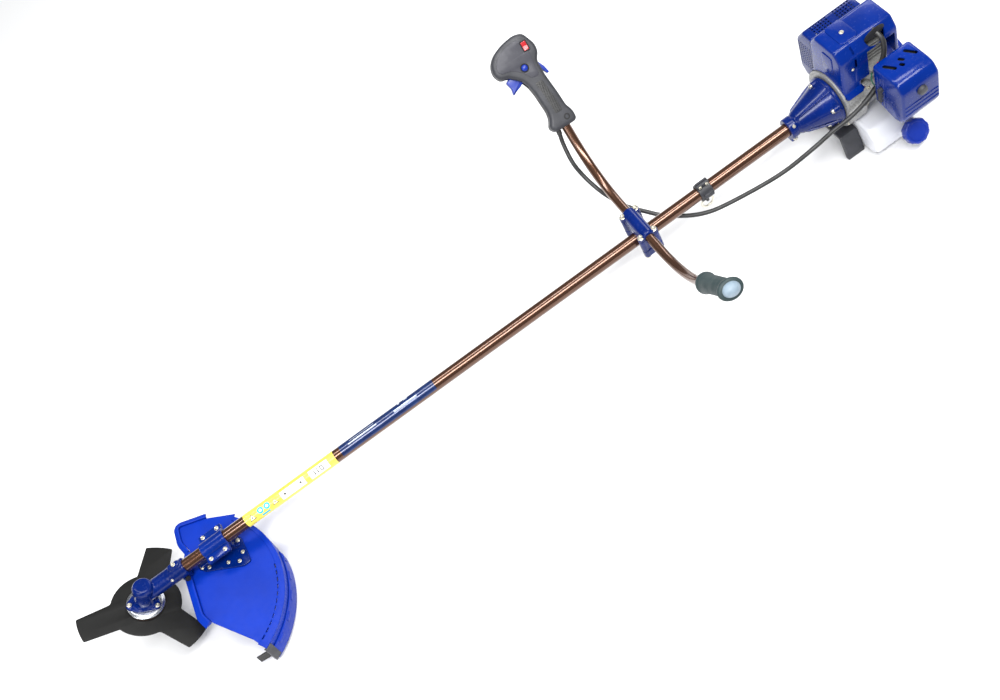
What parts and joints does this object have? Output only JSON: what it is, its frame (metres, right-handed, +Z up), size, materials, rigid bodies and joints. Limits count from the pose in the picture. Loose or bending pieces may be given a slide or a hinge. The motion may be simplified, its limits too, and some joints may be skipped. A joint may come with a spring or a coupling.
{
  "type": "brush cutter",
  "caption": "Straight-shaft petrol brush cutter with an angled gear head, toothed disc blade, debris guard, two-handed handlebar with throttle grip and rear engine.",
  "frame": {"origin": "middle of the machine's footprint, on the ground it rests on", "axes": "+X along the shaft from the blade to the engine, +Y to the operator's right, +Z up"},
  "size_m": [1.848, 0.7074, 0.3638],
  "materials": {
    "blue_casting": "gloss",
    "blue_cover": "gloss",
    "blue_plastic": "satin",
    "bronze_tube": "gloss",
    "black_steel": "satin",
    "steel": "satin",
    "zinc": "satin",
    "alloy": "rough cast",
    "black_plastic": "matt",
    "rubber": "matt",
    "red_plastic": "gloss",
    "milky_plastic": "satin"
  },
  "bodies": {
    "machine": {"shaft_tube": "bronze_tube", "shaft_bush": "rubber", "gear_case": "blue_casting", "neck_bolt": "black_steel", "lower_bearing": "steel", "guard_saddle": "blue_casting", "guard_bracket": "blue_casting", "debris_guard": "blue_plastic", "guard_skirt": "blue_plastic", "line_cutter": "black_steel", "harness_clamp": "black_plastic", "clamp_base": "blue_casting", "clamp_middle": "blue_casting", "clamp_cap": "blue_casting", "clamp_bolt_1": "zinc", "clamp_bolt_2": "zinc", "clamp_bolt_3": "zinc", "clamp_bolt_4": "zinc", "handlebar": "bronze_tube", "left_grip": "rubber", "handle_shell_outer": "black_plastic", "handle_shell_inner": "black_plastic", "throttle_cable": "rubber", "clutch_housing": "blue_casting", "fan_housing": "alloy", "crankcase": "alloy", "cylinder": "alloy", "piston": "alloy", "plug_boot": "rubber", "cylinder_cover": "blue_cover", "muffler": "black_steel", "muffler_cover": "blue_cover", "carburettor": "alloy", "air_filter_base": "black_plastic", "air_filter_cover": "blue_cover", "starter_housing": "blue_plastic", "fuel_tank": "milky_plastic", "engine_stand": "black_plastic"},
    "cutter": {"blade": "black_steel", "blade_flange": "steel", "blade_washer": "steel", "blade_nut": "zinc", "output_shaft": "steel", "output_gear": "steel"},
    "drive": {"drive_shaft": "steel", "pinion_gear": "steel", "clutch_drum": "steel"},
    "crank": {"crankshaft": "steel", "flywheel": "alloy", "clutch_shoes": "alloy"},
    "trigger": {"throttle_trigger": "blue_plastic"},
    "lock_lever": {"trigger_lock": "blue_plastic"},
    "button": {"hold_button": "blue_plastic"},
    "switch": {"stop_switch": "red_plastic"},
    "ring": {"harness_ring": "steel"},
    "pull_grip": {"starter_handle": "black_plastic"},
    "pulley": {"starter_pulley": "black_plastic"},
    "tank_cap": {"fuel_cap": "blue_plastic"},
    "primer": {"primer_bulb": "milky_plastic"},
    "choke": {"choke_lever": "black_plastic"}
  },
  "joints": [
    {"name": "blade_spin", "type": "hinge", "parent": "machine", "child": "cutter", "pos_m": [-0.79697, -0.02266, 0.11315], "axis": [0.515, 0, 0.8572], "continuous": true},
    {"name": "drive_spin", "type": "hinge", "parent": "machine", "child": "drive", "pos_m": [-0.79697, -0.02266, 0.11315], "axis": [1, 0, 0], "continuous": true},
    {"name": "crank_spin", "type": "hinge", "parent": "machine", "child": "crank", "pos_m": [0.84503, -0.02266, 0.11315], "axis": [1, 0, 0], "continuous": true},
    {"name": "throttle", "type": "hinge", "parent": "machine", "child": "trigger", "pos_m": [0.34397, 0.29794, 0.31189], "axis": [0.0689, -0.6947, 0.716], "range_deg": [0, 18], "stiffness_Nm_per_rad": 0.2, "springref_deg": -11.46},
    {"name": "lock_press", "type": "hinge", "parent": "machine", "child": "lock_lever", "pos_m": [0.38007, 0.30081, 0.3112], "axis": [-0.0689, 0.6947, -0.716], "range_deg": [0, 9], "stiffness_Nm_per_rad": 0.2, "springref_deg": -11.46},
    {"name": "button_press", "type": "slide", "parent": "machine", "child": "button", "axis": [-0.0689, 0.6947, -0.716], "range_m": [0, 0.0025], "stiffness_N_per_m": 300, "springref_m": -0.003},
    {"name": "switch_rock", "type": "hinge", "parent": "machine", "child": "switch", "pos_m": [0.38127, 0.31589, 0.34457], "axis": [-0.9954, 0, 0.0958], "range_deg": [-7, 7]},
    {"name": "ring_swing", "type": "hinge", "parent": "machine", "child": "ring", "pos_m": [0.49304, -0.02266, 0.08835], "axis": [1, 0, 0], "range_deg": [-60, 60]},
    {"name": "rope_pull", "type": "slide", "parent": "machine", "child": "pull_grip", "axis": [0, 1, 0], "range_m": [0, 0.55], "stiffness_N_per_m": 15, "springref_m": -0.3},
    {"name": "pulley_spin", "type": "hinge", "parent": "machine", "child": "pulley", "pos_m": [0.90904, -0.02266, 0.11315], "axis": [1, 0, 0], "range_deg": [-1230, 0]},
    {"name": "cap_turn", "type": "hinge", "parent": "machine", "child": "tank_cap", "pos_m": [0.86704, -0.14166, 0.04015], "axis": [0, -0.788, 0.6157], "range_deg": [0, 540]},
    {"name": "primer_press", "type": "slide", "parent": "machine", "child": "primer", "axis": [0, 0, 1], "range_m": [0, 0.005], "stiffness_N_per_m": 300, "springref_m": -0.003},
    {"name": "choke_turn", "type": "hinge", "parent": "machine", "child": "choke", "pos_m": [0.82003, -0.11466, 0.17515], "axis": [-1, 0, 0], "range_deg": [0, 60]}
  ],
  "couplings": [
    {"joint": "drive_spin", "follows": "blade_spin", "ratio": -1.3571},
    {"joint": "pulley_spin", "follows": "rope_pull", "rad_per_m": -38.76}
  ]
}
